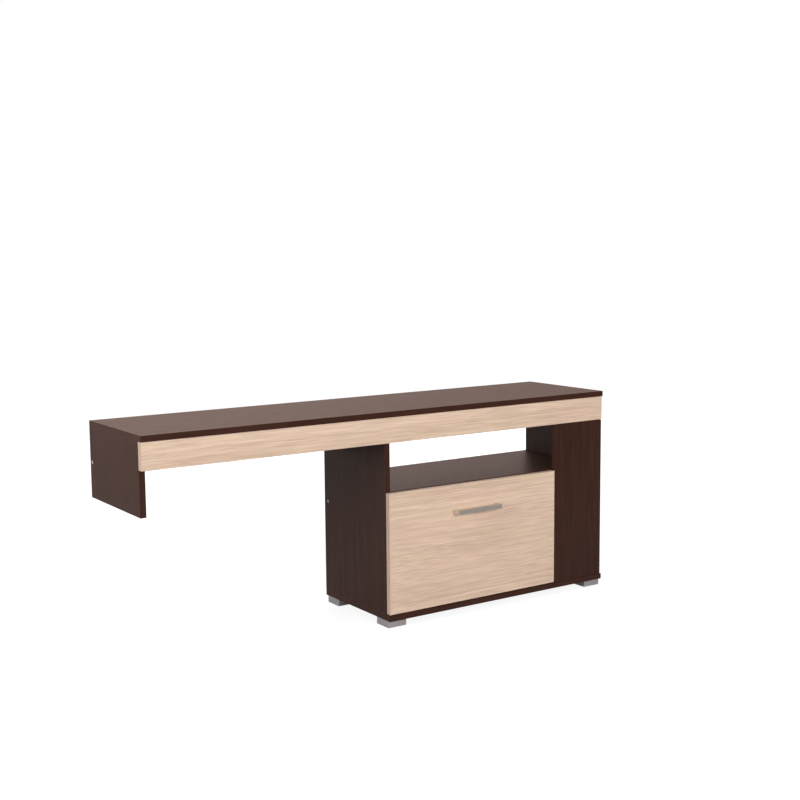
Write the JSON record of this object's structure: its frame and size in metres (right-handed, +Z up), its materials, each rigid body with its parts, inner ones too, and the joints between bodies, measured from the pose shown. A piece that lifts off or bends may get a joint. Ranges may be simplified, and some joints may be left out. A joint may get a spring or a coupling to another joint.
{
  "type": "tv stand",
  "caption": "Long low television stand: a top board bridging from a short end panel to a cabinet on square feet, with an open niche, a drop-down flap door and a fixed side front.",
  "frame": {"origin": "middle of the footprint's bounding box, on the floor, with the flap closed and the handle's reach counted in the depth", "axes": "+X to the right along the top board, +Y from the fronts to the open back, +Z up; the fronts face -Y"},
  "size_m": [1.5, 0.3684, 0.607],
  "materials": {
    "dark_laminate": "satin dark brown wood-grain melamine on chipboard",
    "light_laminate": "satin light oak wood-grain melamine on chipboard",
    "fibreboard": "painted white face on thin fibreboard",
    "beech": "raw fluted beech",
    "silver_plastic": "silver-coloured moulding",
    "satin_metal": "satin nickel",
    "plated_steel": "bright zinc plating",
    "zinc": "cast zinc",
    "cap_plastic": "light grey moulding",
    "white_plastic": "off-white moulding"
  },
  "bodies": {
    "carcass": {"top_board": "dark_laminate", "front_rail": "light_laminate", "left_end_panel": "dark_laminate", "cabinet_left_side": "dark_laminate", "cabinet_right_side": "dark_laminate", "bottom_board": "dark_laminate", "niche_shelf": "dark_laminate", "lower_partition": "dark_laminate", "side_front_panel": "dark_laminate", "bridge_stretcher": "dark_laminate", "cabinet_stretcher": "dark_laminate", "back_panel": "fibreboard", "foot_front_left": "silver_plastic", "foot_front_right": "silver_plastic", "foot_rear_left": "silver_plastic", "foot_rear_right": "silver_plastic", "foot_screws": "plated_steel", "cam_locks": "zinc", "cam_bolts": "plated_steel", "wood_dowels": "beech", "stretcher_screws": "plated_steel", "screw_caps": "cap_plastic", "rail_blocks": "white_plastic", "rail_block_screws": "plated_steel", "hinge_plates": "plated_steel", "hinge_plate_screws": "plated_steel", "hinge_arms": "plated_steel", "hinge_arm_screws": "plated_steel", "stay_side_bracket": "plated_steel", "stay_side_rivet": "zinc", "stay_bracket_screws": "plated_steel", "catch_housing": "white_plastic", "catch_magnet": "zinc", "catch_screws": "plated_steel"},
    "flap": {"flap_door": "light_laminate", "handle": "satin_metal", "handle_screws": "plated_steel", "hinge_cups": "plated_steel", "hinge_cup_screws": "plated_steel", "stay_door_bracket": "plated_steel", "stay_door_screws": "plated_steel", "stay_door_rivet": "zinc", "strike_plate": "plated_steel", "strike_screw": "plated_steel"},
    "stay_lower": {"stay_lower_link": "plated_steel", "stay_elbow_rivet": "zinc"},
    "stay_upper": {"stay_upper_link": "plated_steel"}
  },
  "joints": [
    {"name": "flap_hinge", "type": "hinge", "parent": "carcass", "child": "flap", "pos_m": [0.261, -0.15825, 0.0385], "axis": [1, 0, 0], "range_deg": [0, 90]},
    {"name": "stay_side_pivot", "type": "hinge", "parent": "carcass", "child": "stay_lower", "pos_m": [-0.019, -0.00825, 0.0525], "axis": [1, 0, 0], "range_deg": [0, 90]},
    {"name": "stay_flap_pivot", "type": "hinge", "parent": "flap", "child": "stay_upper", "pos_m": [-0.016, -0.13425, 0.2085], "axis": [1, 0, 0], "range_deg": [-90, 0]}
  ],
  "couplings": [
    {"joint": "stay_side_pivot", "follows": "flap_hinge", "ratio": 1},
    {"joint": "stay_flap_pivot", "follows": "flap_hinge", "ratio": -1}
  ]
}
